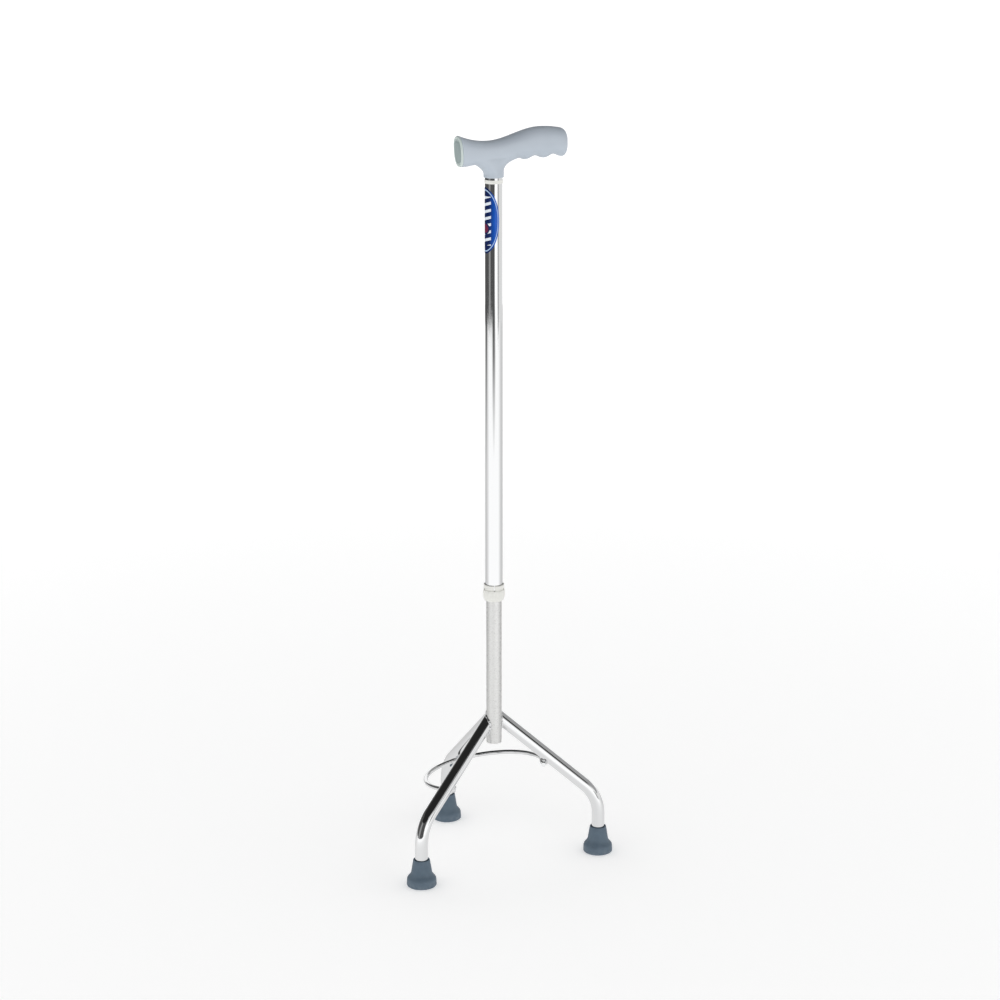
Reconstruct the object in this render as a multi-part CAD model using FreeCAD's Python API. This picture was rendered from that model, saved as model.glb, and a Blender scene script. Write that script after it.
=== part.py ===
import FreeCAD, Part
import math
import os

from FreeCAD import Vector

# Height-adjustable walking cane on three bent legs, in millimetres, +Z up.
# Everything is built about the shaft's axis and then moved, so that the origin is on the floor at the
# centre of the object's box. The handle runs along X with its nose toward -X. The side leg points
# toward +Y, and the user stands on the open side, toward -Y.

# Stance
stance_radius = 123.0           # shaft axis to the centre of each foot
foot_spread = 111.9             # degrees in plan from +Y to the front foot, and to the rear foot
side_foot_lean = 2.4            # degrees in plan from +Y to the side foot, toward the nose
leg_diameter = 15.0
leg_wall = 1.2
leg_bend_radius = 47.0
leg_knee_height = 69.8          # where a leg's sloping and upright centrelines would meet
leg_setback = 7.6               # the front and rear legs meet behind the shaft, toward the side leg
leg_meeting_x = 3.4             # and a little to the rear of its axis
leg_meeting_height = 173.7
side_leg_height = 176.0         # where the side leg's centreline would reach the shaft's axis
leg_end_height = 8.0            # cut end of each leg, inside its foot

# Feet
foot_height = 31.8
foot_base_wall = 9.8            # rubber round the leg, at the base, the shoulder and the rim
foot_base_height = 9.6
foot_base_taper = 0.5
foot_shoulder_wall = 4.7
foot_shoulder_height = 15.0
foot_rim_wall = 1.9
foot_edge = 1.2                 # rounding of the tread's edge
tread_groove_radii = (6.5, 11.0)
tread_groove_width = 1.6
tread_groove_depth = 1.2
washer_thickness = 1.5

# Telescoping tubes
outer_tube_diameter = 20.0
outer_tube_wall = 0.9
tube_clearance = 0.2            # radial gap between the two tubes
inner_tube_wall = 1.0
inner_tube_bottom = 141.0       # height of the inner tube's lower end
outer_tube_bottom = 320.0       # height of the outer tube's lower end
socket_depth = 31.4             # how far the outer tube goes up into the handle

# Height setting: a row of holes, and a sprung button in the inner tube
hole_pitch = 19.0
hole_count = 13
hole_now = 6                    # holes below the one that the button is in
first_hole = 40.0               # lowest hole above the outer tube's lower end
button_radius = 3.2
button_hole_clearance = 0.3
button_proud = 2.4              # button above the outer tube's surface
button_flange_radius = 4.2
button_flange_thickness = 0.8
flange_gap = 0.15               # flange to the inner tube's bore
spring_width = 8.0
spring_thickness = 0.6
spring_length = 46.0            # below the button's centre
spring_tip = 8.0                # above the button's centre
spring_fold_radius = 1.3
tube_over_button = 26.0         # inner tube above the button's centre

# Plugs in the ends of the inner tube
top_bush_length = 12.0
top_bush_flange = 2.0
top_bush_clearance = 0.1
bottom_plug_length = 8.0
bottom_plug_recess = 0.6

# Locking collar: a split sleeve fixed on the outer tube, and a nut that turns on it
sleeve_wall = 1.0
sleeve_ring_wall = 1.8
sleeve_ring_height = 6.2
sleeve_lip = 1.6                # fingers below the outer tube's end, which grip the inner tube
sleeve_slit = 1.0
sleeve_slit_azimuth = 247.0     # degrees from +X
sleeve_edge = 0.5
nut_height = 13.0
nut_floor = 3.2
nut_clearance = 0.25
nut_end_wall = 0.85             # outside the sleeve, at the top and just above the floor
nut_belly = 0.6                 # how far the middle bulges past that
nut_lip_wall = 1.7              # at the lower edge
nut_flutes = 24
nut_flute_radius = 0.7
nut_flute_depth = 0.35
grip_clearance = 0.3            # collar parts to the inner tube

# Band under the handle
ring_height = 4.0
ring_wall = 0.35
ring_gap = 2.3                  # bare tube between the band and the handle

# Handle. Heights are above the handle's lower end, and X is from the shaft's axis.
neck_bottom = 803.2             # height of the handle's lower end above the floor
neck_wall = 1.3
neck_straight = 4.0
neck_height = 20.8
neck_top_length = 34.0          # reach of the neck where it meets the grip, along X
neck_top_width = 11.0           # half width there
neck_nose_power = 1.7           # how late the neck spreads toward the nose: more is later
neck_grip_power = 3.2           # and toward the grip
nose_x = -41.6
nose_lean = 4.0                 # degrees that the top of the nose's end face leans out
grip_end_x = 88.0
grip_end_round = 5.5
nose_underside = 13.2
nose_rise = 7.8
nose_half_width = 11.2
saddle_x = -7.0
saddle_top = 40.7
saddle_underside = 15.8
crest_x = 57.0
crest_top = 53.0
crest_half_width = 13.4
end_drop = 4.6                  # top of the grip's end below the crest
finger_start_x = 14.8           # lowest point ahead of the first finger
finger_pitch = 22.6
finger_depth = 3.5
finger_underside = 18.9
finger_rise = 1.2               # rise of the underside from the first finger to the end
section_power = 2.5             # 2 is an ellipse, more is squarer
section_points = 20
grip_stations = 23
end_stations = (0.35, 0.62, 0.84, 0.96)                     # shares of the end's rounding
neck_stations = (0.0, 0.2, 0.35, 0.5, 0.62, 0.75, 0.88, 1.0)    # shares of the spreading part
cap_thickness = 2.2
cap_inset = 0.7
cap_disc_inset = 3.4
cap_disc_thickness = 0.6
rivet_height = 10.5             # above the neck's lower end
rivet_shank_radius = 2.0
rivet_head_radius = 3.4
rivet_head_thickness = 1.0

# Label on the outer tube
label_height = 73.6
label_width = 35.0              # along the tube's surface
label_thickness = 0.15
label_below_ring = 4.2

# Hoop: an open rod ring that touches the undersides of the legs
hoop_rod_diameter = 5.4
hoop_reach = {"front": 75.5, "side": 83.0, "rear": 58.8}    # along each leg in plan, to the rod
hoop_overhang = {"front": 3.0, "rear": 6.5}                 # degrees of rod past each end leg

# Weld beads
leg_bead = 1.5
hoop_bead_radius = 5.2

# Values worked out from the sizes above
inner_tube_radius = outer_tube_diameter / 2 - outer_tube_wall - tube_clearance
inner_bore_radius = inner_tube_radius - inner_tube_wall
outer_tube_radius = outer_tube_diameter / 2
outer_bore_radius = outer_tube_radius - outer_tube_wall
outer_tube_top = neck_bottom + socket_depth
button_height = outer_tube_bottom + first_hole + hole_now * hole_pitch
inner_tube_top = button_height + tube_over_button
button_hole_radius = button_radius + button_hole_clearance
leg_radius = leg_diameter / 2
hoop_rod_radius = hoop_rod_diameter / 2
foot_azimuths = {
    "side": 90.0 + side_foot_lean,
    "front": 90.0 + foot_spread,
    "rear": 90.0 - foot_spread,
}
leg_roots = {
    "side": Vector(0, 0, side_leg_height),
    "front": Vector(leg_meeting_x, leg_setback, leg_meeting_height),
    "rear": Vector(leg_meeting_x, leg_setback, leg_meeting_height),
}
neck_radius = outer_tube_radius + neck_wall
sleeve_radius = outer_tube_radius + sleeve_wall
sleeve_ring_radius = outer_tube_radius + sleeve_ring_wall
lean = math.radians(nose_lean)
front_drop = -math.cos(math.radians(foot_spread))
side_reach = math.cos(math.radians(side_foot_lean))
shaft_offset = stance_radius * (side_reach - front_drop) / 2    # centres the feet on the origin along Y


def save(name, shape):
    placed = shape.copy()
    placed.translate(Vector(0, -shaft_offset, 0))
    placed.exportStep(f"parts/{name}.step")
    solids = len(placed.Solids)
    print(f"{name}: {solids} solid, valid {placed.isValid()}, {placed.Volume / 1000:.2f} cm3")


def post(radius, low, high):
    """An upright cylinder about the shaft's axis."""
    return Part.makeCylinder(radius, high - low, Vector(0, 0, low))


def pipe(radius, bore, low, high):
    return post(radius, low, high).cut(post(bore, low - 1, high + 1))


def spin(points):
    """A solid of revolution about the shaft's axis from (radius, height) points."""
    corners = [Vector(r, 0, z) for r, z in points]
    face = Part.Face(Part.makePolygon(corners + corners[:1]))
    return face.revolve(Vector(0, 0, 0), Vector(0, 0, 1), 360)


def outward(radius, inner, outer, height):
    """A cylinder that points away from the shaft toward +Y."""
    return Part.makeCylinder(radius, outer - inner, Vector(0, inner, height), Vector(0, 1, 0))


def turned(shape, azimuth):
    """A copy of a shape built along +X, turned about the shaft to an azimuth."""
    copy = shape.copy()
    copy.rotate(Vector(0, 0, 0), Vector(0, 0, 1), azimuth)
    return copy


# Legs

def foot_centre(name):
    azimuth = math.radians(foot_azimuths[name])
    return Vector(stance_radius * math.cos(azimuth), stance_radius * math.sin(azimuth), 0)


def leg_way(name):
    """From a leg's root to its foot, in plan."""
    root = leg_roots[name]
    return foot_centre(name) - Vector(root.x, root.y, 0)


def leg_slope(name):
    """Angle of the straight stretch below the horizontal, in radians."""
    return math.atan((leg_roots[name].z - leg_knee_height) / leg_way(name).Length)


def leg_heading(name):
    return Vector(math.cos(leg_slope(name)), 0, -math.sin(leg_slope(name)))


def leg_start(name):
    """Where the rod starts, in its own XZ plane. The front and rear rods start past their meeting point."""
    root = Vector(0, 0, leg_roots[name].z)
    return root if name == "side" else root - leg_heading(name) * leg_diameter


def placed(shape, name):
    """A copy of a shape built along +X from the shaft's axis, put where a leg is."""
    way = leg_way(name)
    copy = turned(shape, math.degrees(math.atan2(way.y, way.x)))
    copy.translate(Vector(leg_roots[name].x, leg_roots[name].y, 0))
    return copy


def trimmed(shape, name):
    """The front and rear legs meet in a mitre behind the shaft."""
    if name == "side":
        return shape
    reach = 2 * stance_radius
    low_x = leg_meeting_x if name == "front" else leg_meeting_x - reach
    return shape.cut(Part.makeBox(reach, 2 * reach, 2 * reach, Vector(low_x, -reach, -reach / 2)))


def leg_path(name):
    """Sloping run, bend and upright run, in the XZ plane."""
    run = leg_way(name).Length
    slope = leg_slope(name)
    half_turn = (math.pi / 2 - slope) / 2
    tangent = leg_bend_radius * math.tan(half_turn)
    bend_start = Vector(run, 0, leg_knee_height) - leg_heading(name) * tangent
    bend_end = Vector(run, 0, leg_knee_height - tangent)
    centre = Vector(run - leg_bend_radius, 0, bend_end.z)
    outward_reach = Vector(math.cos(half_turn), 0, math.sin(half_turn)) * leg_bend_radius
    edges = [
        Part.LineSegment(leg_start(name), bend_start).toShape(),
        Part.Arc(bend_start, centre + outward_reach, bend_end).toShape(),
        Part.LineSegment(bend_end, Vector(run, 0, leg_end_height)).toShape(),
    ]
    return Part.Wire(edges)


def leg_rod(name, radius):
    """A solid rod along a leg's whole centreline, in its place."""
    ring = Part.Wire(Part.Circle(leg_start(name), leg_heading(name), radius).toShape())
    return trimmed(placed(leg_path(name).makePipeShell([ring], True, True), name), name)


def make_legs():
    """The upper end of each tube is cut to fit the shaft, and the side leg is cut to fit its neighbours."""
    rods = {name: leg_rod(name, leg_radius) for name in foot_azimuths}
    shaft = post(inner_tube_radius, 0, 2 * leg_meeting_height)
    legs = {}
    for name, rod in rods.items():
        legs[name] = rod.cut(leg_rod(name, leg_radius - leg_wall)).cut(shaft)
    legs["side"] = legs["side"].cut(rods["front"]).cut(rods["rear"])
    return legs


def make_leg_weld():
    """One bead round the joints of the legs with the shaft."""
    limit = pipe(inner_tube_radius + leg_bead, inner_tube_radius, leg_knee_height, 2 * leg_meeting_height)
    beads = []
    for name in foot_azimuths:
        sleeve = Part.makeCylinder(
            leg_radius + leg_bead, stance_radius / 2, leg_start(name), leg_heading(name)
        )
        beads.append(limit.common(trimmed(placed(sleeve, name), name)))
    bead = beads[0].fuse(beads[1:])
    for name in foot_azimuths:
        bead = bead.cut(leg_rod(name, leg_radius))
    return bead.removeSplitter()


# Feet

def make_foot(name):
    """A ferrule of revolution about its own leg, with rings in the tread."""
    wide = leg_radius + foot_base_wall
    outline = [
        (0, 0),
        (wide - foot_edge, 0),
        (wide, foot_edge),
        (wide - foot_base_taper, foot_base_height),
        (leg_radius + foot_shoulder_wall, foot_shoulder_height),
        (leg_radius + foot_rim_wall, foot_height),
        (0, foot_height),
    ]
    foot = spin(outline)
    foot = foot.cut(post(leg_radius, leg_end_height - washer_thickness, foot_height + 1))
    for radius in tread_groove_radii:
        foot = foot.cut(pipe(radius + tread_groove_width, radius, -1, tread_groove_depth))
    foot.translate(foot_centre(name))
    return foot


def make_washer(name):
    washer = post(leg_radius, leg_end_height - washer_thickness, leg_end_height)
    washer.translate(foot_centre(name))
    return washer


# Tubes

def make_inner_tube():
    tube = pipe(inner_tube_radius, inner_bore_radius, inner_tube_bottom, inner_tube_top)
    return tube.cut(outward(button_hole_radius, 0, outer_tube_diameter, button_height))


def make_outer_tube():
    tube = pipe(outer_tube_radius, outer_bore_radius, outer_tube_bottom, outer_tube_top)
    for number in range(hole_count):
        height = outer_tube_bottom + first_hole + number * hole_pitch
        tube = tube.cut(outward(button_hole_radius, 0, outer_tube_diameter, height))
    return tube.cut(outward(rivet_shank_radius, 0, outer_tube_diameter, neck_bottom + rivet_height))


def make_top_bush():
    stem_low = inner_tube_top - top_bush_length
    flange = post(outer_bore_radius - top_bush_clearance, inner_tube_top, inner_tube_top + top_bush_flange)
    return post(inner_bore_radius, stem_low, inner_tube_top).fuse(flange).removeSplitter()


def make_bottom_plug():
    low = inner_tube_bottom + bottom_plug_recess
    return post(inner_bore_radius, low, low + bottom_plug_length)


# Snap button

def flange_face():
    """Distance from the shaft's axis to the outer face of the button's flange."""
    edge = math.sqrt(inner_bore_radius**2 - button_flange_radius**2)
    return edge - flange_gap


def make_button():
    """A round-ended peg on a flange."""
    tip = outer_tube_radius + button_proud
    seat = flange_face()
    peg = outward(button_radius, seat, tip - button_radius, button_height)
    dome = Part.makeSphere(button_radius, Vector(0, tip - button_radius, button_height))
    flange = outward(button_flange_radius, seat - button_flange_thickness, seat, button_height)
    return peg.fuse(dome).fuse(flange).removeSplitter()


def make_spring():
    """A leaf folded at the bottom: one arm behind the button, the other against the far wall of the tube."""
    near = flange_face() - button_flange_thickness
    far = -math.sqrt(inner_bore_radius**2 - (spring_width / 2) ** 2)
    top = button_height + spring_tip
    knee = button_height - spring_tip
    low = button_height - spring_length
    fold = spring_fold_radius
    thick = spring_thickness
    inside = fold - thick / 2
    outside = fold + thick / 2

    def polygon(points):
        corners = [Vector(-spring_width / 2, y, z) for y, z in points]
        return Part.Face(Part.makePolygon(corners + corners[:1])).extrude(Vector(spring_width, 0, 0))

    near_arm = polygon(
        [(near, top), (near - thick, top), (near - thick, knee), (inside, low), (outside, low), (near, knee)]
    )
    far_arm = polygon(
        [(far, top), (far + thick, top), (far + thick, knee), (-inside, low), (-outside, low), (far, knee)]
    )
    centre = Vector(-spring_width / 2, 0, low)
    bend = Part.makeCylinder(outside, spring_width, centre, Vector(1, 0, 0))
    bend = bend.cut(Part.makeCylinder(inside, spring_width, centre, Vector(1, 0, 0)))
    upper_half = Part.makeBox(spring_width, 2 * outside, outside, Vector(-spring_width / 2, -outside, low))
    return near_arm.fuse(bend.cut(upper_half)).fuse(far_arm).removeSplitter()


# Locking collar

def nut_bottom():
    return outer_tube_bottom - sleeve_lip - nut_floor - nut_clearance


def make_sleeve():
    """Fixed on the outer tube's end, with a ring above the nut and split fingers that grip the inner tube."""
    low = outer_tube_bottom - sleeve_lip
    ring_low = nut_bottom() + nut_height + nut_clearance
    ring_high = ring_low + sleeve_ring_height
    body = post(sleeve_radius, low, ring_low)
    ring = spin([
        (0, ring_low),
        (sleeve_ring_radius - sleeve_edge, ring_low),
        (sleeve_ring_radius, ring_low + sleeve_edge),
        (sleeve_ring_radius, ring_high - sleeve_edge),
        (sleeve_ring_radius - sleeve_edge, ring_high),
        (0, ring_high),
    ])
    sleeve = body.fuse(ring)
    sleeve = sleeve.cut(post(outer_tube_radius, outer_tube_bottom, ring_high + 1))
    sleeve = sleeve.cut(post(inner_tube_radius + grip_clearance, low - 1, outer_tube_bottom))
    reach = 2 * sleeve_ring_radius
    slit = Part.makeBox(reach, sleeve_slit, 2 * reach, Vector(0, -sleeve_slit / 2, low - reach / 2))
    return sleeve.cut(turned(slit, sleeve_slit_azimuth)).removeSplitter()


def make_nut():
    """A barrel that turns on the sleeve, with flutes for the fingers."""
    low = nut_bottom()
    high = low + nut_height
    bore = sleeve_radius + nut_clearance
    throat = inner_tube_radius + grip_clearance
    end_radius = bore + nut_end_wall
    widest = end_radius + nut_belly
    belly_low = Vector(end_radius, 0, low + nut_floor)
    belly_high = Vector(end_radius, 0, high)
    side = Part.Arc(belly_low, Vector(widest, 0, (belly_low.z + high) / 2), belly_high).toShape()
    corners = [
        belly_high,
        Vector(0, 0, high),
        Vector(0, 0, low),
        Vector(throat + nut_lip_wall, 0, low),
        belly_low,
    ]
    outline = Part.Wire([side] + Part.makePolygon(corners).Edges)
    nut = Part.Face(outline).revolve(Vector(0, 0, 0), Vector(0, 0, 1), 360)
    nut = nut.cut(post(bore, low + nut_floor, high + 1))
    nut = nut.cut(post(throat, low - 1, high))
    flute_x = widest + nut_flute_radius - nut_flute_depth
    flute = Part.makeCylinder(nut_flute_radius, 2 * nut_height, Vector(flute_x, 0, low))
    for number in range(nut_flutes):
        nut = nut.cut(turned(flute, 360.0 * number / nut_flutes))
    return nut


# Band and label

def ring_bottom():
    return neck_bottom - ring_gap - ring_height


def make_ring():
    return pipe(outer_tube_radius + ring_wall, outer_tube_radius, ring_bottom(), ring_bottom() + ring_height)


def make_label():
    """An oval decal wrapped round the front of the tube."""
    middle = ring_bottom() - label_below_ring - label_height / 2
    surface = Part.Cylinder()
    surface.Radius = outer_tube_radius
    surface.Center = Vector(0, 0, middle)
    half_angle = label_width / 2 / outer_tube_radius
    oval = Part.Geom2d.Ellipse2d(
        FreeCAD.Base.Vector2d(math.pi, label_height / 2),
        FreeCAD.Base.Vector2d(math.pi + half_angle, 0),
        FreeCAD.Base.Vector2d(math.pi, 0),
    )
    face = Part.Face(surface, Part.Wire(oval.toShape(surface)))
    face.validate()
    return face.makeOffsetShape(label_thickness, 1e-4, fill=True)


# Handle

def grip_top(x):
    """Height of the grip's upper side above the handle's lower end."""
    if x < saddle_x:
        share = (saddle_x - x) / (saddle_x - nose_x)
        return saddle_top + nose_rise * share**2
    if x < crest_x:
        share = (x - saddle_x) / (crest_x - saddle_x)
        return saddle_top + (crest_top - saddle_top) * (1 - math.cos(math.pi * share)) / 2
    share = (x - crest_x) / (grip_end_x - crest_x)
    return crest_top - end_drop * share**2


def grip_bottom(x):
    """Height of the underside. It rises from the nose to the neck, then carries the finger grooves."""
    if x < saddle_x:
        share = (x - nose_x) / (saddle_x - nose_x)
        return nose_underside + (saddle_underside - nose_underside) * math.sin(math.pi / 2 * share)
    if x < finger_start_x:
        share = (x - saddle_x) / (finger_start_x - saddle_x)
        return saddle_underside + (finger_underside - finger_depth / 2 - saddle_underside) * share
    along = x - finger_start_x
    wave = -math.cos(2 * math.pi * along / finger_pitch)
    return finger_underside + finger_rise * along / (grip_end_x - finger_start_x) + finger_depth / 2 * wave


def grip_half_width(x):
    if x < saddle_x:
        return nose_half_width
    share = min(1.0, (x - saddle_x) / (crest_x - saddle_x))
    return nose_half_width + (crest_half_width - nose_half_width) * (1 - math.cos(math.pi * share)) / 2


def end_scale(x):
    """Rounds off the far end of the grip."""
    into = max(0.0, x - (grip_end_x - grip_end_round)) / grip_end_round
    return math.sqrt(max(0.0, 1 - into**2))


def oval_wire(centre, across, up, half_across, half_up, power):
    """A closed smooth outline: an ellipse, squared a little when power is over 2."""
    points = []
    for number in range(section_points):
        angle = 2 * math.pi * number / section_points
        c = math.cos(angle)
        s = math.sin(angle)
        reach = (abs(c) ** power + abs(s) ** power) ** (-1 / power)
        points.append(centre + across * (half_across * reach * c) + up * (half_up * reach * s))
    curve = Part.BSplineCurve()
    curve.interpolate(Points=points, PeriodicFlag=True)
    return Part.Wire(curve.toShape())


def section_lean(x):
    """The sections lean with the nose's end face, and stand upright from the saddle on."""
    return lean * max(0.0, (saddle_x - x) / (saddle_x - nose_x))


def grip_section(x, inset=0.0, scale=1.0):
    low = neck_bottom + grip_bottom(x)
    high = neck_bottom + grip_top(x)
    half_up = (high - low) / 2 * scale - inset
    half_across = grip_half_width(x) * scale - inset
    centre = Vector(x, 0, (low + high) / 2)
    up = Vector(-math.sin(section_lean(x)), 0, math.cos(section_lean(x)))
    return oval_wire(centre, Vector(0, 1, 0), up, half_across, half_up, section_power)


def make_grip():
    round_start = grip_end_x - grip_end_round
    step = (round_start - nose_x) / (grip_stations - 1)
    sections = [grip_section(nose_x + step * number) for number in range(grip_stations)]
    for share in end_stations:
        x = round_start + grip_end_round * share
        sections.append(grip_section(x, scale=end_scale(x)))
    return Part.makeLoft(sections, True, False)


def make_neck():
    """Round where the tube goes in, spreading along X into the underside of the grip."""
    rise = neck_height - neck_straight
    spread = neck_top_length - neck_radius
    shares = (-neck_straight / rise, -neck_straight / rise / 2) + neck_stations
    sections = []
    for share in shares:
        above = max(0.0, share)
        to_nose = neck_radius + spread * above**neck_nose_power
        to_grip = neck_radius + spread * above**neck_grip_power
        across = neck_radius + (neck_top_width - neck_radius) * above**neck_grip_power
        centre = Vector((to_grip - to_nose) / 2, 0, neck_bottom + neck_straight + rise * share)
        half_length = (to_grip + to_nose) / 2
        sections.append(oval_wire(centre, Vector(1, 0, 0), Vector(0, 1, 0), half_length, across, 2.0))
    return Part.makeLoft(sections, True, False)


def make_handle():
    handle = make_grip().fuse(make_neck())
    handle = handle.cut(post(outer_tube_radius, neck_bottom - 1, outer_tube_top))
    height = neck_bottom + rivet_height
    handle = handle.cut(outward(rivet_shank_radius, 0, 2 * neck_radius, height))
    seat = outward(rivet_head_radius, neck_radius - rivet_head_thickness, 2 * neck_radius, height)
    return handle.cut(seat).removeSplitter()


def make_rivet():
    height = neck_bottom + rivet_height
    seat = neck_radius - rivet_head_thickness
    shank = outward(rivet_shank_radius, outer_bore_radius, seat, height)
    return shank.fuse(outward(rivet_head_radius, seat, neck_radius, height)).removeSplitter()


def make_end_cap():
    """A plate on the nose with a raised disc."""
    outward_from_nose = Vector(-math.cos(lean), 0, -math.sin(lean))
    plate = Part.Face(grip_section(nose_x, cap_inset)).extrude(outward_from_nose * cap_thickness)
    disc = Part.Face(grip_section(nose_x, cap_disc_inset))
    disc = disc.extrude(outward_from_nose * (cap_thickness + cap_disc_thickness))
    return plate.fuse(disc).removeSplitter()


# Hoop

def hoop_contact(name):
    """Centre of the rod where it runs under a leg and touches it."""
    way = leg_way(name)
    reach = hoop_reach[name]
    root = leg_roots[name]
    down = reach * math.tan(leg_slope(name)) + (leg_radius + hoop_rod_radius) / math.cos(leg_slope(name))
    return root + way * (reach / way.Length) - Vector(0, 0, down)


def hoop_circle():
    """The rod's centre line, through its contacts with the rear, side and front legs in turn."""
    return Part.Circle(hoop_contact("rear"), hoop_contact("side"), hoop_contact("front"))


def make_hoop():
    circle = hoop_circle()
    first = circle.parameter(hoop_contact("rear")) - math.radians(hoop_overhang["rear"])
    last = circle.parameter(hoop_contact("front")) + math.radians(hoop_overhang["front"])
    heading = circle.tangent(first)[0]
    section = Part.Face(Part.Wire(Part.Circle(circle.value(first), heading, hoop_rod_radius).toShape()))
    return section.revolve(circle.Center, circle.Axis, math.degrees(last - first))


def make_hoop_weld(name, hoop):
    """A lump of weld where the rod touches a leg."""
    seat = hoop_contact(name) + Vector(0, 0, hoop_rod_radius)
    bead = Part.makeSphere(hoop_bead_radius, seat)
    return bead.cut(hoop).cut(leg_rod(name, leg_radius))


def main():
    os.makedirs("parts", exist_ok=True)
    legs = make_legs()
    hoop = make_hoop()
    for name in foot_azimuths:
        save(f"leg_{name}", legs[name])
        save(f"foot_{name}", make_foot(name))
        save(f"washer_{name}", make_washer(name))
        save(f"hoop_weld_{name}", make_hoop_weld(name, hoop))
    save("leg_weld", make_leg_weld())
    save("hoop", hoop)
    save("inner_tube", make_inner_tube())
    save("top_bush", make_top_bush())
    save("bottom_plug", make_bottom_plug())
    save("snap_button", make_button())
    save("button_spring", make_spring())
    save("outer_tube", make_outer_tube())
    save("collar_sleeve", make_sleeve())
    save("collar_nut", make_nut())
    save("neck_ring", make_ring())
    save("label", make_label())
    save("handle", make_handle())
    save("handle_rivet", make_rivet())
    save("handle_cap", make_end_cap())


main()
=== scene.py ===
import math

import bmesh
import bpy
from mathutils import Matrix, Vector, noise


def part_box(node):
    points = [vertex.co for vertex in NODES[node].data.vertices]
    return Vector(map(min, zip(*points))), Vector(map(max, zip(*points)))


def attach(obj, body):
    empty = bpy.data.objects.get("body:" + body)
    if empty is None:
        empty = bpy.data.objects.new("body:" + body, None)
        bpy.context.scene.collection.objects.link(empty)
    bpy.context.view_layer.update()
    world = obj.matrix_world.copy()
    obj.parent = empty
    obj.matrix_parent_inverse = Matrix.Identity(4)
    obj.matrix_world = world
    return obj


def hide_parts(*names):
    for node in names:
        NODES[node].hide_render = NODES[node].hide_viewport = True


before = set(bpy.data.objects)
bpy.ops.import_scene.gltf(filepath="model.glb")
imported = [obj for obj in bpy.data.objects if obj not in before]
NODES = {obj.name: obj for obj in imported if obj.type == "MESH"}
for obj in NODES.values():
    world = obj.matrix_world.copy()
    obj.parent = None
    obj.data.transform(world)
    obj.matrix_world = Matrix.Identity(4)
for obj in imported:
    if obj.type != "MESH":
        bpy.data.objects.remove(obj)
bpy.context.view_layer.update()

MM = 0.001
TAU = 2 * math.pi


# Places and sizes read from the frame, in metres

def box_centre(node):
    low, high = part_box(node)
    return (low + high) / 2


def box_size(node):
    low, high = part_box(node)
    return high - low


SHAFT = box_centre("outer_tube")
SHAFT.z = 0.0
TUBE_RADIUS = box_size("outer_tube").x / 2
INNER_RADIUS = box_size("inner_tube").x / 2
LEG_RADIUS = box_size("washer_front").x / 2
LEGS = ("front", "rear", "side")
NOSE_LEAN = 4.0                 # degrees that the nose's end face leans forward at its top
FIT = 0.02 * MM                 # radial gap between a detailed piece and the part it holds


# Camera, at the photograph's angle

CAMERA_AZIMUTH = -25.5          # degrees from looking along +Y
CAMERA_DISTANCE = 2.909
CAMERA_HEIGHT = 1.261
CAMERA_PITCH = 15.87            # degrees below the horizon
CAMERA_YAW = 0.137              # degrees off the shaft
CAMERA_LENS = 95.65


def make_camera():
    turn = math.radians(CAMERA_AZIMUTH)
    data = bpy.data.cameras.new("camera")
    data.lens = CAMERA_LENS
    data.sensor_width = 36.0
    data.clip_end = 200.0
    camera = bpy.data.objects.new("camera", data)
    bpy.context.scene.collection.objects.link(camera)
    away = Vector((math.sin(turn), -math.cos(turn), 0))
    camera.location = SHAFT + away * CAMERA_DISTANCE + Vector((0, 0, CAMERA_HEIGHT))
    camera.rotation_euler = (math.radians(90 - CAMERA_PITCH), 0, turn - math.radians(CAMERA_YAW))
    bpy.context.scene.camera = camera


# Materials

def new_material(name, colour, roughness, metallic=0.0, **sockets):
    made = bpy.data.materials.new(name)
    made.use_nodes = True
    shader = made.node_tree.nodes["Principled BSDF"]
    shader.inputs["Base Color"].default_value = (*colour, 1)
    shader.inputs["Roughness"].default_value = roughness
    shader.inputs["Metallic"].default_value = metallic
    for key, value in sockets.items():
        shader.inputs[key.replace("_", " ")].default_value = value
    return made, made.node_tree, shader


def node(tree, kind, inputs=None, **settings):
    made = tree.nodes.new("ShaderNode" + kind)
    for name, value in settings.items():
        setattr(made, name, value)
    for key, value in (inputs or {}).items():
        if isinstance(value, bpy.types.NodeSocket):
            tree.links.new(value, made.inputs[key])
        else:
            made.inputs[key].default_value = value
    return made


def object_coordinates(tree, centre=(0, 0, 0), scale=(1, 1, 1)):
    """Coordinates in the piece's own frame, measured from centre."""
    place = node(tree, "TexCoord").outputs["Object"]
    moved = node(tree, "VectorMath", {0: place, 1: centre}, operation="SUBTRACT").outputs[0]
    return node(tree, "VectorMath", {0: moved, 1: scale}, operation="MULTIPLY").outputs[0]


def noise_of(tree, place, scale, detail=4.0, roughness=0.5):
    inputs = {"Vector": place, "Scale": scale, "Detail": detail, "Roughness": roughness}
    return node(tree, "TexNoise", inputs).outputs[0]


def ranged(tree, value, from_low, from_high, to_low, to_high):
    inputs = {
        "Value": value, "From Min": from_low, "From Max": from_high, "To Min": to_low, "To Max": to_high,
    }
    return node(tree, "MapRange", inputs, clamp=True).outputs[0]


def math_of(tree, operation, a, b=0.0):
    return node(tree, "Math", {0: a, 1: b}, operation=operation).outputs[0]


def mixed_colour(tree, share, a, b):
    made = node(tree, "Mix", {"Factor": share}, data_type="RGBA")
    for socket, value in ((made.inputs[6], a), (made.inputs[7], b)):
        if isinstance(value, bpy.types.NodeSocket):
            tree.links.new(value, socket)
        else:
            socket.default_value = (*value, 1)
    return made.outputs[2]


def bump(tree, shader, height, distance):
    made = node(tree, "Bump", {"Height": height, "Distance": distance, "Strength": 1.0})
    tree.links.new(made.outputs[0], shader.inputs["Normal"])


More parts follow.
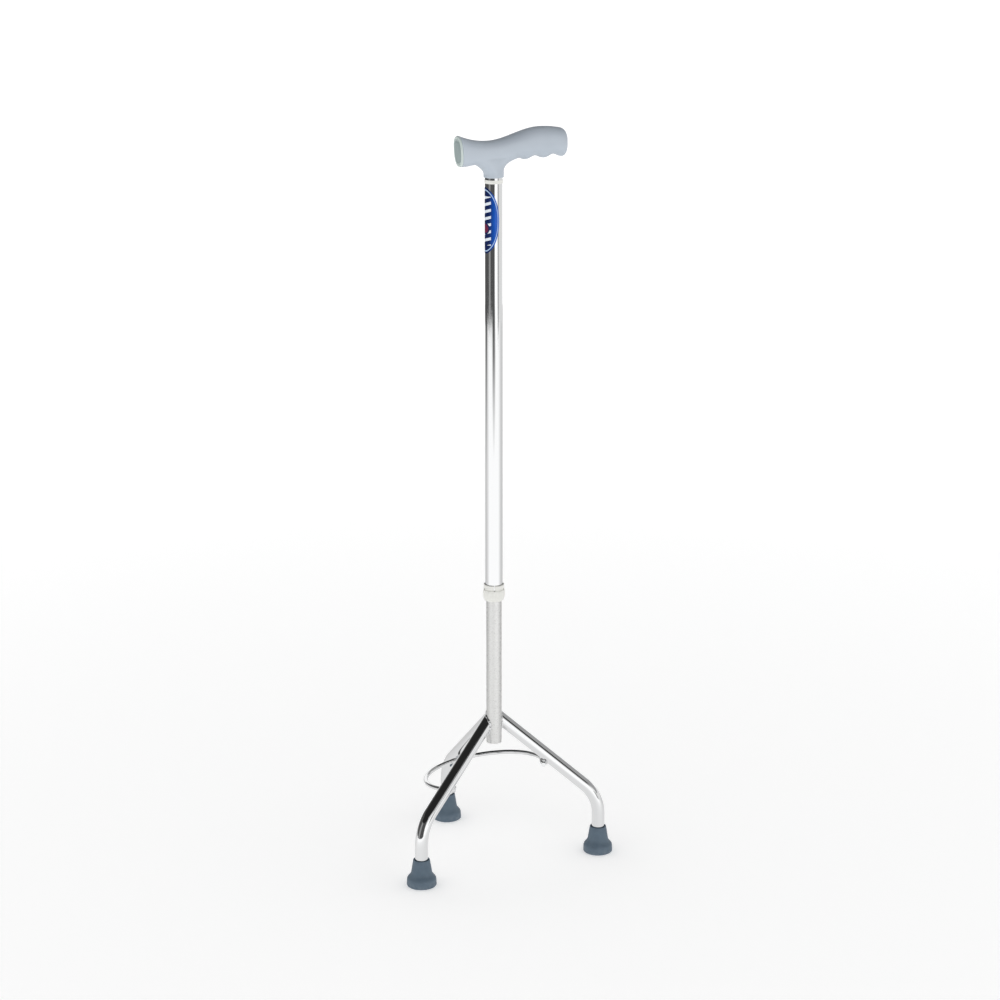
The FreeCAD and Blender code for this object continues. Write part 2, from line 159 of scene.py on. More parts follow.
def plastic(name, dark, light, roughness, grain=900.0, depth=0.03):
    """Moulded plastic: a slow drift of tone, a fine spark-eroded grain, and shine that varies."""
    made, tree, shader = new_material(name, light, roughness, Specular_IOR_Level=0.45)
    place = object_coordinates(tree)
    slow = noise_of(tree, place, 22.0, 3.0)
    share = ranged(tree, slow, 0.35, 0.65, 0, 1)
    tree.links.new(mixed_colour(tree, share, dark, light), shader.inputs["Base Color"])
    rub = noise_of(tree, place, 60.0, 5.0, 0.6)
    shine = ranged(tree, rub, 0.3, 0.7, roughness - 0.05, roughness + 0.07)
    tree.links.new(shine, shader.inputs["Roughness"])
    bump(tree, shader, noise_of(tree, place, grain, 2.0), depth * MM)
    return made


def handle_plastic():
    """Satin moulded plastic with a parting line along its middle and a fine grain."""
    roughness = 0.34
    made, tree, shader = new_material("handle_satin_plastic", (0.44, 0.5, 0.57), roughness)
    shader.inputs["Specular IOR Level"].default_value = 0.6
    shader.inputs["Coat Weight"].default_value = 0.15
    shader.inputs["Coat Roughness"].default_value = 0.3
    place = object_coordinates(tree, SHAFT)
    slow = noise_of(tree, place, 18.0, 3.0)
    share = ranged(tree, slow, 0.35, 0.65, 0, 1)
    colour = mixed_colour(tree, share, (0.455, 0.512, 0.580), (0.485, 0.542, 0.610))
    tree.links.new(colour, shader.inputs["Base Color"])
    rub = noise_of(tree, place, 45.0, 6.0, 0.65)
    shine = ranged(tree, rub, 0.3, 0.7, roughness - 0.06, roughness + 0.08)
    tree.links.new(shine, shader.inputs["Roughness"])
    across = node(tree, "SeparateXYZ", {0: place}).outputs[1]
    seam_half_width = 0.35 * MM
    seam = ranged(tree, math_of(tree, "ABSOLUTE", across), 0.0, seam_half_width, 1.0, 0.0)
    grain = noise_of(tree, place, 1100.0, 2.0)
    height = math_of(tree, "ADD", math_of(tree, "MULTIPLY", grain, 0.35), seam)
    bump(tree, shader, height, 0.06 * MM)
    return made


def chrome(name="chrome_plate", colour=(0.86, 0.865, 0.87), low=0.035, high=0.085):
    """Bright plating: a faint haze of handling, and fine draw lines along the tube."""
    made, tree, shader = new_material(name, colour, low, 1.0)
    place = object_coordinates(tree)
    haze = noise_of(tree, place, 35.0, 6.0, 0.65)
    tree.links.new(ranged(tree, haze, 0.35, 0.75, low, high), shader.inputs["Roughness"])
    lines = noise_of(tree, object_coordinates(tree, (0, 0, 0), (1, 1, 0.03)), 900.0, 2.0)
    bump(tree, shader, lines, 0.004 * MM)
    return made


def satin_metal():
    """Dull plated tube with the mottled, cross-hatched look of a pickled surface."""
    made, tree, shader = new_material("satin_plate", (0.66, 0.66, 0.65), 0.3, 1.0)
    place = object_coordinates(tree)
    cloud = noise_of(tree, place, 240.0, 5.0, 0.6)
    flakes = node(tree, "TexVoronoi", {"Vector": place, "Scale": 700.0}).outputs["Distance"]
    tone = math_of(tree, "ADD", math_of(tree, "MULTIPLY", cloud, 0.7), math_of(tree, "MULTIPLY", flakes, 0.3))
    colour = mixed_colour(tree, ranged(tree, tone, 0.3, 0.62, 0, 1), (0.64, 0.64, 0.63), (0.76, 0.76, 0.75))
    tree.links.new(colour, shader.inputs["Base Color"])
    tree.links.new(ranged(tree, tone, 0.3, 0.65, 0.24, 0.36), shader.inputs["Roughness"])
    bump(tree, shader, tone, 0.02 * MM)
    return made


def steel():
    """Spring and washer steel with rolling lines."""
    made, tree, shader = new_material("bright_steel", (0.56, 0.56, 0.57), 0.28, 1.0)
    place = object_coordinates(tree, (0, 0, 0), (1, 1, 0.05))
    lines = noise_of(tree, place, 700.0, 4.0)
    tree.links.new(ranged(tree, lines, 0.3, 0.7, 0.2, 0.42), shader.inputs["Roughness"])
    bump(tree, shader, lines, 0.01 * MM)
    return made


def rubber():
    """Matt moulded rubber, dustier low down, with a fine pitted grain."""
    made, tree, shader = new_material("slate_rubber", (0.1, 0.15, 0.2), 0.55, Specular_IOR_Level=0.4)
    place = object_coordinates(tree)
    cloud = noise_of(tree, place, 90.0, 5.0, 0.6)
    share = ranged(tree, cloud, 0.3, 0.7, 0, 1)
    clean = mixed_colour(tree, share, (0.080, 0.122, 0.165), (0.105, 0.152, 0.200))
    height = node(tree, "SeparateXYZ", {0: place}).outputs[2]
    dusty_height = 9 * MM
    low_down = ranged(tree, height, 0.0, dusty_height, 0.5, 0.0)
    specks = ranged(tree, noise_of(tree, place, 240.0, 6.0), 0.4, 0.7, 0, 1)
    dust = math_of(tree, "MULTIPLY", low_down, specks)
    tree.links.new(mixed_colour(tree, dust, clean, (0.23, 0.26, 0.29)), shader.inputs["Base Color"])
    tree.links.new(ranged(tree, cloud, 0.3, 0.7, 0.42, 0.62), shader.inputs["Roughness"])
    bump(tree, shader, noise_of(tree, place, 1300.0, 3.0), 0.04 * MM)
    return made


def label_print():
    """A glossy oval decal: blue, a pale border, slanted bars and one red disc, with painted shade darkening
    its middle. It carries no lettering.
    """
    made, tree, shader = new_material("printed_label", (0.0, 0.09, 0.5), 0.18)
    shader.inputs["Specular IOR Level"].default_value = 0.3
    shader.inputs["Coat Weight"].default_value = 0.25
    shader.inputs["Coat Roughness"].default_value = 0.06
    low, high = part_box("label")
    middle = Vector((SHAFT.x, SHAFT.y, (low.z + high.z) / 2))
    place = object_coordinates(tree, middle)
    parts = node(tree, "SeparateXYZ", {0: place})
    x, y, z = parts.outputs[0], parts.outputs[1], parts.outputs[2]
    angle = math_of(tree, "ARCTAN2", y, math_of(tree, "MULTIPLY", x, -1.0))
    across = math_of(tree, "MULTIPLY", angle, TUBE_RADIUS)
    half_width = 17.5 * MM
    half_height = (high.z - low.z) / 2
    bar_pitch = 7.9 * MM
    bars_half_width = 8.1 * MM
    bars_half_height = 27.0 * MM
    disc_drop = 8.6 * MM
    disc_radius = 4.8 * MM
    disc_clear_radius = 6.6 * MM
    edge = 0.2 * MM
    u = math_of(tree, "DIVIDE", across, half_width)
    v = math_of(tree, "DIVIDE", z, half_height)
    out = math_of(tree, "SQRT", math_of(
        tree, "ADD", math_of(tree, "MULTIPLY", u, u), math_of(tree, "MULTIPLY", v, v)
    ))
    tone = ranged(tree, noise_of(tree, place, 70.0, 4.0), 0.3, 0.7, 0, 1)
    blue = mixed_colour(tree, tone, (0.0, 0.075, 0.44), (0.0, 0.095, 0.54))
    # Painted shade: the blue darkens to near black toward the label's middle, standing for the shaded side of
    # the tube that is turned away from the light.
    painted_shade_share = ranged(tree, math_of(tree, "ABSOLUTE", across), 6 * MM, 12 * MM, 1, 0)
    blue = mixed_colour(tree, painted_shade_share, blue, (0.0, 0.012, 0.085))
    slant = math_of(tree, "ADD", z, math_of(tree, "MULTIPLY", across, 0.3))
    wave = math_of(tree, "SINE", math_of(tree, "MULTIPLY", slant, TAU / bar_pitch))
    bars = ranged(tree, wave, 0.25, 0.35, 0, 1)
    aside = math_of(tree, "ABSOLUTE", across)
    in_width = ranged(tree, aside, bars_half_width, bars_half_width + edge, 1, 0)
    away = math_of(tree, "ABSOLUTE", z)
    in_height = ranged(tree, away, bars_half_height, bars_half_height + 1.5 * edge, 1, 0)
    inside = math_of(tree, "MULTIPLY", math_of(tree, "MULTIPLY", bars, in_width), in_height)
    dot_z = math_of(tree, "ADD", z, disc_drop)
    far = math_of(tree, "SQRT", math_of(
        tree, "ADD", math_of(tree, "MULTIPLY", dot_z, dot_z), math_of(tree, "MULTIPLY", across, across)
    ))
    clear = ranged(tree, far, disc_clear_radius, disc_clear_radius + edge, 0, 1)
    disc = ranged(tree, far, disc_radius, disc_radius + edge, 1, 0)
    marked = mixed_colour(tree, math_of(tree, "MULTIPLY", inside, clear), blue, (0.78, 0.84, 0.92))
    marked = mixed_colour(tree, disc, marked, (0.16, 0.012, 0.05))
    border = math_of(
        tree, "MULTIPLY", ranged(tree, out, 0.90, 0.91, 0, 1), ranged(tree, out, 0.935, 0.945, 1, 0)
    )
    finished = mixed_colour(tree, border, marked, (0.45, 0.62, 0.86))
    tree.links.new(finished, shader.inputs["Base Color"])
    tree.links.new(ranged(tree, tone, 0, 1, 0.15, 0.24), shader.inputs["Roughness"])
    bump(tree, shader, noise_of(tree, place, 500.0, 2.0), 0.005 * MM)
    return made


def make_materials():
    return {
        "handle_plastic": handle_plastic(),
        "cap_plastic": plastic("cap_plastic_moulded", (0.30, 0.37, 0.37), (0.36, 0.43, 0.43), 0.4),
        "cap_rim": plastic("cap_rim_moulded", (0.56, 0.64, 0.62), (0.62, 0.69, 0.67), 0.35),
        "white_plastic": plastic("white_plastic_moulded", (0.78, 0.78, 0.74), (0.84, 0.84, 0.80), 0.3),
        "bush_plastic": plastic("bush_plastic_moulded", (0.06, 0.06, 0.065), (0.09, 0.09, 0.095), 0.45),
        "label": label_print(),
        "chrome": chrome(),
        "satin_metal": satin_metal(),
        "steel": steel(),
        "rubber": rubber(),
    }


def paint(piece, *materials):
    piece.data.materials.clear()
    for made in materials:
        piece.data.materials.append(made)


# Meshes

def new_piece(name, mesh, body, slot, replaced=(), paints=()):
    piece = bpy.data.objects.new(name, mesh)
    bpy.context.scene.collection.objects.link(piece)
    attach(piece, body)
    if replaced:
        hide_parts(*replaced)
    paint(piece, *(paints or (MATERIALS[slot],)))
    return piece


def shade_smooth(mesh, sharp_degrees=None):
    mesh.polygons.foreach_set("use_smooth", [True] * len(mesh.polygons))
    if sharp_degrees is not None:
        mesh.set_sharp_from_angle(angle=math.radians(sharp_degrees))


def mesh_from(name, vertices, faces, sharp_degrees=None):
    mesh = bpy.data.meshes.new(name)
    mesh.from_pydata([tuple(v) for v in vertices], [], faces)
    bm = bmesh.new()
    bm.from_mesh(mesh)
    bmesh.ops.remove_doubles(bm, verts=bm.verts, dist=0.001 * MM)
    bmesh.ops.recalc_face_normals(bm, faces=bm.faces)
    bm.to_mesh(mesh)
    bm.free()
    shade_smooth(mesh, sharp_degrees)
    return mesh


def apply_modifiers(piece):
    graph = bpy.context.evaluated_depsgraph_get()
    graph.update()
    done = bpy.data.meshes.new_from_object(piece.evaluated_get(graph))
    piece.modifiers.clear()
    old = piece.data
    piece.data = done
    bpy.data.meshes.remove(old)


def rounded(corners, steps=5):
    """Turns (radius, height, rounding) corners, in millimetres, into a smooth outline in metres."""
    points = []
    for i, (r, z, rounding) in enumerate(corners):
        here = Vector((r, z))
        before = Vector(corners[i - 1][:2]) - here
        after = Vector(corners[(i + 1) % len(corners)][:2]) - here
        if rounding <= 0:
            points.append(here * MM)
            continue
        reach = min(rounding, before.length * 0.48, after.length * 0.48)
        start = here + before.normalized() * reach
        end = here + after.normalized() * reach
        for k in range(steps + 1):
            t = k / steps
            points.append((start * (1 - t) ** 2 + here * (2 * t * (1 - t)) + end * t**2) * MM)
    return points


def spun(name, outline, centre, segments=128, first=0.0, last=TAU, ripple=None, sharp_degrees=50):
    """A closed solid of revolution about an upright line, or a slice of one between two angles."""
    whole = last - first > TAU - 1e-6
    count = segments if whole else segments + 1
    n = len(outline)
    vertices = []
    for k in range(count):
        angle = first + (last - first) * k / segments
        for point in outline:
            r = point.x + (ripple(angle, point.x, point.y) if ripple else 0.0)
            vertices.append(centre + Vector((r * math.cos(angle), r * math.sin(angle), point.y)))
    faces = []
    for k in range(segments):
        a = k * n
        b = ((k + 1) % count) * n
        for i in range(n):
            j = (i + 1) % n
            faces.append((a + i, b + i, b + j, a + j))
    if not whole:
        faces.append(tuple(range(n)))
        faces.append(tuple(range((count - 1) * n, count * n)))
    return mesh_from(name, vertices, faces, sharp_degrees)


def welded_copy(node_name, name):
    """A CAD node's mesh with its split corners joined, so that it is closed."""
    mesh = NODES[node_name].data.copy()
    mesh.name = name
    bm = bmesh.new()
    bm.from_mesh(mesh)
    bmesh.ops.remove_doubles(bm, verts=bm.verts, dist=0.002 * MM)
    bm.to_mesh(mesh)
    bm.free()
    return mesh


def remeshed(piece, voxel):
    made = piece.modifiers.new("remesh", "REMESH")
    made.mode = "VOXEL"
    made.voxel_size = voxel * MM
    made.use_smooth_shade = True
    apply_modifiers(piece)


def relaxed(piece, passes, weights=None):
    """Evens out a mesh. Weights hold a share for each vertex, where the effect differs."""
    made = piece.modifiers.new("smooth", "SMOOTH")
    made.factor = 0.5
    made.iterations = passes
    if weights:
        group = piece.vertex_groups.new(name="where")
        for index, share in enumerate(weights):
            group.add([index], share, "REPLACE")
        made.vertex_group = "where"
    apply_modifiers(piece)


def cut(piece, meshes):
    """Takes solids away from a piece."""
    for mesh in meshes:
        tool = bpy.data.objects.new("tool", mesh)
        bpy.context.scene.collection.objects.link(tool)
        made = piece.modifiers.new("cut", "BOOLEAN")
        made.operation = "DIFFERENCE"
        made.solver = "EXACT"
        made.object = tool
        apply_modifiers(piece)
        bpy.data.objects.remove(tool)
        bpy.data.meshes.remove(mesh)


def stacked_faces(rings, count):
    """Faces that join rings of vertices one after another, closed at both ends."""
    faces = []
    for ring in range(rings - 1):
        for k in range(count):
            a = ring * count
            faces.append((a + k, a + (k + 1) % count, a + count + (k + 1) % count, a + count + k))
    faces.append(tuple(range(count)))
    faces.append(tuple(range((rings - 1) * count, rings * count)))
    return faces


def rod_mesh(name, radius, start, end, segments=96):
    """A closed cylinder between two points."""
    along = (end - start).normalized()
    side = along.orthogonal().normalized()
    up = along.cross(side)
    vertices = []
    for place in (start, end):
        for k in range(segments):
            angle = TAU * k / segments
            vertices.append(place + (side * math.cos(angle) + up * math.sin(angle)) * radius)
    return mesh_from(name, vertices, stacked_faces(2, segments), 40)


def joined(meshes, name):
    bm = bmesh.new()
    for mesh in meshes:
        bm.from_mesh(mesh)
    made = bpy.data.meshes.new(name)
    bm.to_mesh(made)
    bm.free()
    return made


# Handle

RIVET_HEAD_RADIUS = 3.4         # of its seat, in millimetres
RIVET_HEAD_THICKNESS = 1.0


def ramp(value, start, length):
    """Rises from 0 to 1 over a length, both in metres."""
    return min(1.0, max(0.0, (value - start) / length))


def make_handle():
    """The CAD handle, filled, its creases softened into fillets, and its socket and rivet seat cut again."""
    low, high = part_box("handle")
    tube_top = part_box("outer_tube")[1].z
    rivet_low, rivet_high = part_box("handle_rivet")
    rivet_z = (rivet_low.z + rivet_high.z) / 2
    rivet_head = RIVET_HEAD_RADIUS * MM
    overfill = 0.05 * MM
    axis = Vector((SHAFT.x, SHAFT.y, 0))
    fill_top = axis + Vector((0, 0, tube_top + overfill))
    fill = rod_mesh("fill", TUBE_RADIUS + overfill, axis + Vector((0, 0, low.z)), fill_top)
    rivet_seat = Vector((SHAFT.x, rivet_high.y, rivet_z))
    rivet_start = Vector((SHAFT.x, SHAFT.y, rivet_z))
    rivet_fill = rod_mesh("rivet_fill", rivet_head + overfill, rivet_start, rivet_seat)
    mesh = joined([welded_copy("handle", "handle_source"), fill, rivet_fill], "handle_shell")
    piece = new_piece("handle_shell", mesh, "upper", "handle_plastic", ["handle"])
    remeshed(piece, 0.7)

    # The lower end, the nose's face and the grip's end keep more of their edges.
    least = 0.12
    least_at_end = 0.15
    weights = []
    for vertex in piece.data.vertices:
        share = ramp(vertex.co.z, low.z + 9 * MM, 6 * MM)
        share *= ramp(vertex.co.x, low.x + 1.5 * MM, 5 * MM)
        share *= max(least_at_end, 1 - ramp(vertex.co.x, high.x - 14 * MM, 14 * MM))
        weights.append(least + (1 - least) * share)
    relaxed(piece, 40, weights)

    bore_bottom = axis + Vector((0, 0, low.z - 5 * MM))
    bore = rod_mesh("bore", TUBE_RADIUS + FIT, bore_bottom, axis + Vector((0, 0, tube_top)), 160)
    head_bottom = Vector((SHAFT.x, rivet_high.y - RIVET_HEAD_THICKNESS * MM, rivet_z))
    head = rod_mesh("head", rivet_head, head_bottom, rivet_seat + Vector((0, 9 * MM, 0)), 64)
    cut(piece, [bore, head])
    shade_smooth(piece.data, 35)
    paint(piece, MATERIALS["handle_plastic"])


def make_cap():
    """The nose's end plug: a rounded pale rim, and a darker face with raised rings."""
    low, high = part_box("handle_cap")
    lean = math.radians(NOSE_LEAN)
    out = Vector((-math.cos(lean), 0, -math.sin(lean)))
    up = Vector((-math.sin(lean), 0, math.cos(lean)))
    half_width = (high.y - low.y) / 2 / MM
    thick = (high.x - low.x - (high.z - low.z) * math.tan(lean)) / math.cos(lean)
    half_height = ((high.z - low.z) / MM - thick / MM * math.sin(lean)) / 2 / math.cos(lean)
    middle = (low + high) / 2
    base = middle - out * (thick / 2)
    outline = [
        (0.0, 0.0), (0.0, 0.7), (0.12, 1.25), (0.42, 1.75), (0.9, 2.05), (1.6, 2.1), (2.1, 1.95),
        (2.35, 1.55), (2.55, 1.25), (2.95, 1.2), (3.2, 1.45), (3.4, 2.05), (3.75, 2.45), (4.3, 2.6),
        (4.8, 2.5), (5.1, 2.15), (5.45, 1.95), (5.8, 2.1), (6.1, 2.5), (6.6, 2.72), (7.6, 2.78), (9.0, 2.8),
    ]
    count = 128
    power = 2.5         # of the squared-off oval, as in the CAD part
    rim_width = 2.5     # painted in the paler colour
    vertices = []
    for inset, depth in outline:
        for k in range(count):
            c = math.cos(TAU * k / count)
            s = math.sin(TAU * k / count)
            reach = (abs(c) ** power + abs(s) ** power) ** (-1 / power)
            across = (half_width - inset) * reach * c * MM
            rise = (half_height - inset) * reach * s * MM
            vertices.append(base + out * (depth * MM) + up * rise + Vector((0, across, 0)))
    mesh = mesh_from("handle_end_plug", vertices, stacked_faces(len(outline), count), 50)
    paints = (MATERIALS["cap_plastic"], MATERIALS["cap_rim"])
    piece = new_piece("handle_end_plug", mesh, "upper", "cap_plastic", ["handle_cap"], paints)
    for face in piece.data.polygons:
        offset = face.center - base
        across = abs(offset.y) / half_width / MM
        rise = abs(offset.dot(up)) / half_height / MM
        size = (across**power + rise**power) ** (1 / power)
        if size > 1 - rim_width / half_width or face.normal.x > 0.5:
            face.material_index = 1


def make_rivet():
    """A low domed head on a shank, in its seat in the back of the neck."""
    low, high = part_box("handle_rivet")
    z = (low.z + high.z) / 2
    back = high.y / MM
    outline = [
        (low.y / MM, 1.98), (back - RIVET_HEAD_THICKNESS, 1.98), (back - RIVET_HEAD_THICKNESS, 3.3),
        (back - 0.45, 3.3), (back - 0.2, 3.1), (back - 0.05, 2.3), (back + 0.02, 1.2), (back + 0.05, 0.4),
    ]
    count = 64
    vertices = []
    for y, radius in outline:
        for k in range(count):
            angle = TAU * k / count
            across = radius * MM * math.cos(angle)
            vertices.append(Vector((SHAFT.x + across, y * MM, z + radius * MM * math.sin(angle))))
    mesh = mesh_from("handle_rivet_head", vertices, stacked_faces(len(outline), count), 45)
    new_piece("handle_rivet_head", mesh, "upper", "steel", ["handle_rivet"])


def make_ring():
    """A thin rounded band under the handle, with bare tube showing above it."""
    low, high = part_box("neck_ring")
    bore = TUBE_RADIUS / MM + 0.01
    wide = (high.x - low.x) / 2 / MM
    bottom = low.z / MM
    top = high.z / MM
    outline = rounded([(bore, bottom, 0.1), (wide, bottom, 0.3), (wide, top, 0.3), (bore, top, 0.1)])
    new_piece("neck_band", spun("neck_band", outline, SHAFT), "upper", "white_plastic", ["neck_ring"])


# Collar

SLIT_AZIMUTH = 247.0            # degrees from +X
SLIT_WIDTH = 1.0                # at a radius of 11.5, in millimetres
GRIP_GAP = 0.3                  # collar to inner tube
NUT_FLUTES = 24
FLUTE_DEPTH = 0.26


def make_collar():
    """The split sleeve with its outer ring, and the fluted barrel-shaped nut below it."""
    inner = INNER_RADIUS / MM + GRIP_GAP
    bore = (TUBE_RADIUS + FIT) / MM
    sleeve_low, sleeve_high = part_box("collar_sleeve")
    nut_low, nut_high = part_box("collar_nut")
    tube_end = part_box("outer_tube")[0].z / MM
    z0 = sleeve_low.z / MM
    top = sleeve_high.z / MM
    seat = nut_high.z / MM + 0.25
    outline = rounded([
        (inner, z0, 0.2), (10.95, z0, 0.3), (10.95, seat, 0.1), (11.1, seat + 1.3, 0.4),
        (11.75, seat + 1.7, 0.4), (11.8, top - 0.4, 0.4), (11.35, top, 0.25), (10.9, top - 0.1, 0.2),
        (10.35, top - 1.3, 0.2), (bore, top - 1.5, 0), (bore, tube_end, 0), (inner, tube_end, 0.1),
    ])
    slit = math.radians(SLIT_AZIMUTH)
    gap = SLIT_WIDTH / 2 / 11.5
    mesh = spun("collar_sleeve_ring", outline, SHAFT, 180, slit + gap, slit + TAU - gap)
    new_piece("collar_sleeve_ring", mesh, "upper", "white_plastic", ["collar_sleeve"])

    low = nut_low.z / MM
    high = nut_high.z / MM
    outline = rounded([
        (inner, low, 0.3), (10.6, low, 0.9), (11.7, low + 2.2, 1.5), (12.45, low + 4.6, 2.0),
        (12.7, low + 7.8, 2.4), (12.55, high - 2.0, 1.5), (12.0, high, 0.5), (11.3, high, 0.2),
        (11.3, low + 3.3, 0.1), (inner, low + 3.3, 0.1),
    ], 6)

    def flutes(angle, r, z):
        if r < 11.4 * MM:
            return 0.0
        middle = (low + high) / 2
        fade = max(0.0, 1 - ((z / MM - middle) / ((high - low) * 0.42)) ** 4)
        wave = 0.5 + 0.5 * math.cos(NUT_FLUTES * angle)
        return -FLUTE_DEPTH * MM * fade * wave**3

    mesh = spun("collar_grip_nut", outline, SHAFT, 384, ripple=flutes)
    new_piece("collar_grip_nut", mesh, "collar", "white_plastic", ["collar_nut"])


# Base

def make_feet():
    """Rubber ferrules with a ringed tread, a soft shoulder and a rolled rim round the leg."""
    bore = (LEG_RADIUS + FIT) / MM
    outline = rounded([
        (0, 0, 0), (6.5, 0, 0.2), (6.7, 1.2, 0.2), (7.9, 1.2, 0.2), (8.1, 0, 0.2), (11.0, 0, 0.2),
        (11.2, 1.2, 0.2), (12.4, 1.2, 0.2), (12.6, 0, 0.2), (16.2, 0, 0.5), (17.3, 1.1, 1.0),
        (17.15, 3.0, 0.2), (16.95, 3.25, 0.2), (17.1, 3.5, 0.2), (16.85, 8.6, 1.2), (16.0, 10.3, 1.6),
        (13.2, 13.4, 2.4), (12.1, 16.0, 2.4), (11.5, 20.0, 1.0), (9.75, 30.4, 0.8), (9.45, 31.7, 0.6),
        (8.6, 31.8, 0.5), (7.75, 31.0, 0.4), (bore, 29.4, 0.5), (bore, 6.5, 0.1), (0, 6.5, 0),
    ])
    for name in LEGS:
        centre = box_centre("foot_" + name)
        centre.z = 0.0
        mesh = spun("foot_ferrule_" + name, outline, centre, 96)
        new_piece("foot_ferrule_" + name, mesh, "base", "rubber", ["foot_" + name])


def beaded(piece, size, depth):
    """Gives a weld bead the overlapping ripples and spatter of a hand weld."""
    mesh = piece.data
    normals = [vertex.normal.copy() for vertex in mesh.vertices]
    for vertex, normal in zip(mesh.vertices, normals):
        place = vertex.co / (size * MM)
        swell = noise.noise(place) + 0.5 * noise.noise(place * 2.3) + 0.25 * noise.noise(place * 5.1)
        vertex.co += normal * (depth * MM * swell)


def make_welds():
    for name in ["leg_weld"] + ["hoop_weld_" + leg for leg in LEGS]:
        mesh = welded_copy(name, name + "_bead")
        piece = new_piece(name + "_bead", mesh, "base", "chrome", [name])
        remeshed(piece, 0.4)
        relaxed(piece, 4)
        beaded(piece, 3.2, 0.75)
        relaxed(piece, 2)
        shade_smooth(piece.data)
        paint(piece, MATERIALS["chrome"])


# Stage and light

FLOOR_GLOW = 0.3
DRUM_RADIUS = 3.2
DRUM_HEIGHT = 4.2
OUT = Vector((math.sin(math.radians(CAMERA_AZIMUTH)), -math.cos(math.radians(CAMERA_AZIMUTH)), 0))
RIGHT = Vector((-OUT.y, OUT.x, 0))


def on_stage(angle, radius, height):
    """A place in the studio. Angles are degrees to the right of the direction to the camera."""
    turn = math.radians(angle)
    return SHAFT + (OUT * math.cos(turn) + RIGHT * math.sin(turn)) * radius + Vector((0, 0, height))


def stage_piece(name, vertices, faces, made):
    mesh = bpy.data.meshes.new(name)
    mesh.from_pydata([tuple(v) for v in vertices], [], faces)
    mesh.materials.append(made)
    piece = bpy.data.objects.new(name, mesh)
    bpy.context.scene.collection.objects.link(piece)
    return piece


def disc(radius, height, count=96):
    vertices = [on_stage(360 * k / count, radius, height) for k in range(count)]
    return vertices, [tuple(range(count))]


def wall(first, last, radius, low, high, steps=48):
    vertices = []
    for k in range(steps + 1):
        angle = first + (last - first) * k / steps
        vertices += [on_stage(angle, radius, low), on_stage(angle, radius, high)]
    return vertices, [(2 * k, 2 * k + 2, 2 * k + 3, 2 * k + 1) for k in range(steps)]


def glow(name, colour=(1, 1, 1), strength=1.0):
    """A material that only gives out light, with its node tree and its emission node."""
    made = bpy.data.materials.new(name)
    made.use_nodes = True
    tree = made.node_tree
    tree.nodes.clear()
    emission = node(tree, "Emission", {"Color": (*colour, 1), "Strength": strength})
    tree.links.new(emission.outputs[0], node(tree, "OutputMaterial").inputs[0])
    return made, tree, emission


def card(name, shape, made, lights=False):
    """A studio card that shows only in reflections, unless it also blocks or adds light for the plastics."""
    piece = stage_piece(name, *shape, made)
    piece.visible_camera = False
    piece.visible_shadow = False
    piece.visible_diffuse = lights
    return piece


def make_floor():
    """Pale paper for the camera and for shadows. Shiny surfaces see the studio's own floor instead."""
    made, _, shader = new_material("floor_paper", (0.92, 0.92, 0.92), 0.9)
    shader.inputs["Specular IOR Level"].default_value = 0.0
    shader.inputs["Emission Color"].default_value = (1, 1, 1, 1)
    shader.inputs["Emission Strength"].default_value = FLOOR_GLOW
    floor = stage_piece("floor", *disc(40.0, 0.0), made)
    floor.visible_glossy = False


def studio_floor():
    """Bright toward the camera and greyer behind, with dark pools where the paper ends."""
    made, tree, emission = glow("studio_floor")
    place = object_coordinates(tree, SHAFT)
    out = node(tree, "VectorMath", {0: place, 1: OUT}, operation="DOT_PRODUCT").outputs["Value"]
    side = node(tree, "VectorMath", {0: place, 1: RIGHT}, operation="DOT_PRODUCT").outputs["Value"]
    angle = math_of(tree, "ABSOLUTE", math_of(tree, "ARCTAN2", side, out))
    reach = node(tree, "VectorMath", {0: place}, operation="LENGTH").outputs["Value"]
    facing = ranged(tree, angle, math.radians(60), math.radians(105), 1.12, 0.66)
    near = ranged(tree, reach, 0.12, 0.6, 1, 0)
    level = math_of(tree, "ADD", math_of(tree, "MULTIPLY", near, 0.8), math_of(
        tree, "MULTIPLY", math_of(tree, "SUBTRACT", 1.0, near), facing
    ))
    for direction, start, end in ((0, 0.5, 1.4), (-112, 0.3, 1.5)):
        middle = on_stage(direction, DRUM_RADIUS, 0.0) - SHAFT
        away = node(tree, "VectorMath", {0: place, 1: middle}, operation="DISTANCE").outputs["Value"]
        level = math_of(tree, "MULTIPLY", level, ranged(tree, away, start, end, 0.08, 1.0))
    tree.links.new(level, emission.inputs["Strength"])
    return made


def studio_wall():
    """Pale up to head height, and dark above."""
    made, tree, emission = glow("studio_wall")
    height = node(tree, "SeparateXYZ", {0: object_coordinates(tree)}).outputs[2]
    tree.links.new(ranged(tree, height, 0.9, 1.9, 1.0, 0.02), emission.inputs["Strength"])
    return made


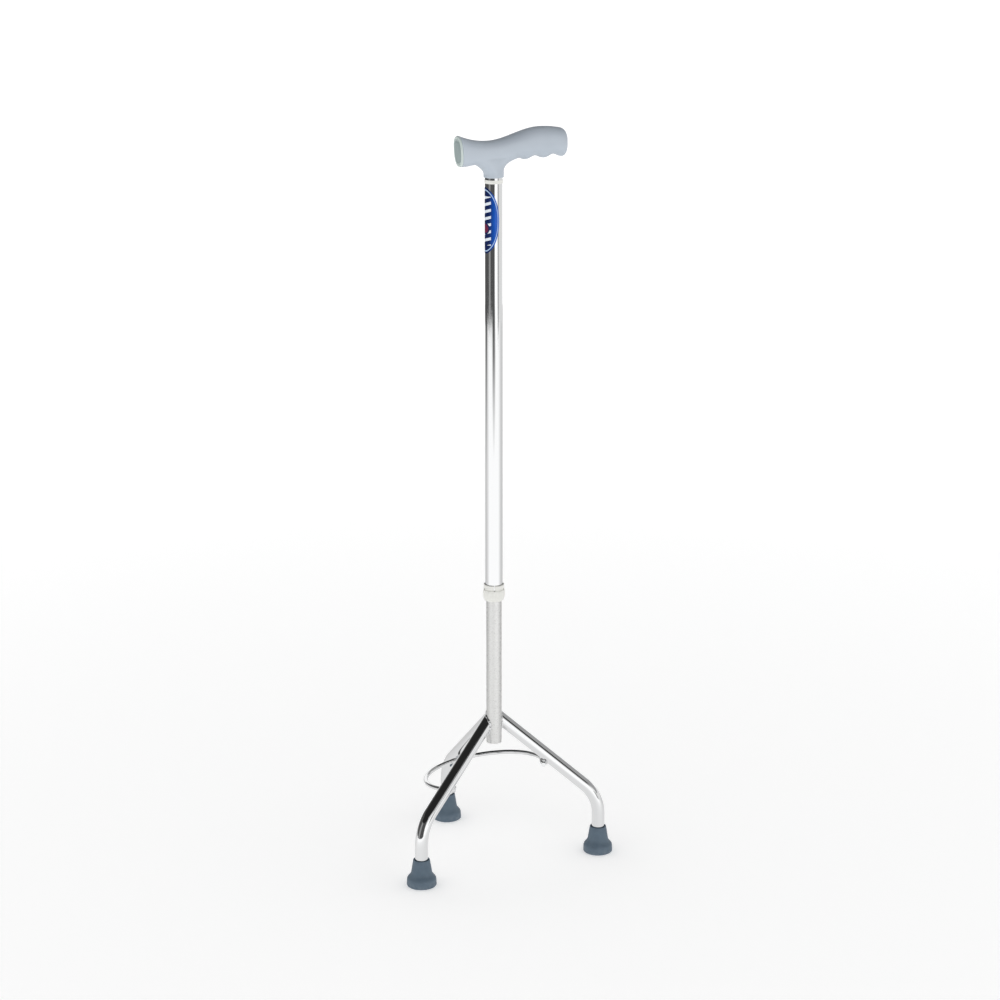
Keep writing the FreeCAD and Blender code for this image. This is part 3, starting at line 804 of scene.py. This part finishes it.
def softbox():
    """A tall light that is weaker toward its top."""
    made, tree, emission = glow("softbox")
    height = node(tree, "SeparateXYZ", {0: object_coordinates(tree)}).outputs[2]
    tree.links.new(ranged(tree, height, 0.7, 2.1, 1.2, 0.4), emission.inputs["Strength"])
    return made


def make_light():
    world = bpy.data.worlds.new("studio")
    world.use_nodes = True
    sky = world.node_tree.nodes["Background"]
    sky.inputs["Color"].default_value = (1, 1, 1, 1)
    sky.inputs["Strength"].default_value = 1.0
    bpy.context.scene.world = world
    bpy.context.scene.view_settings.view_transform = "Standard"
    dark = glow("dark_cloth", (0.02, 0.02, 0.02))[0]
    card("studio_floor", disc(DRUM_RADIUS, 0.001), studio_floor())
    card("studio_wall", wall(-180, 180, DRUM_RADIUS, 0.0, DRUM_HEIGHT, 96), studio_wall())
    card("studio_ceiling", disc(DRUM_RADIUS, DRUM_HEIGHT), dark)
    card("overhead_cloth", disc(1.9, 2.9), dark, lights=True)
    card("softbox", wall(17, 48, 2.9, 0.0, 2.15), softbox())
    # Name, first and last angle, radius, lower and upper edge, and strength
    bands = [
        ("dark_backdrop", -148, 12, 3.0, 0.0, 2.0, 0.085),
        ("pale_strip", -66, -42, 2.95, 0.0, 2.0, 0.3),
        ("flag", 52, 66, 2.9, 0.0, 0.6, 0.33),
        ("grey_backdrop", 66, 132, 3.0, 0.0, 0.6, 0.78),
        ("grey_upper", 76, 165, 3.0, 0.6, 2.7, 0.36),
    ]
    for name, first, last, radius, low, high, strength in bands:
        card(name, wall(first, last, radius, low, high), glow(name, strength=strength)[0])


make_camera()
MATERIALS = make_materials()
CAD_SLOTS = {
    "outer_tube": "chrome", "inner_tube": "satin_metal", "hoop": "chrome", "label": "label",
    "top_bush": "bush_plastic", "bottom_plug": "bush_plastic", "snap_button": "chrome",
    "button_spring": "steel",
}
for leg in LEGS:
    CAD_SLOTS["leg_" + leg] = "chrome"
    CAD_SLOTS["washer_" + leg] = "steel"
for name, slot in CAD_SLOTS.items():
    paint(NODES[name], MATERIALS[slot])
make_handle()
make_cap()
make_rivet()
make_ring()
make_collar()
make_feet()
make_welds()
make_floor()
make_light()
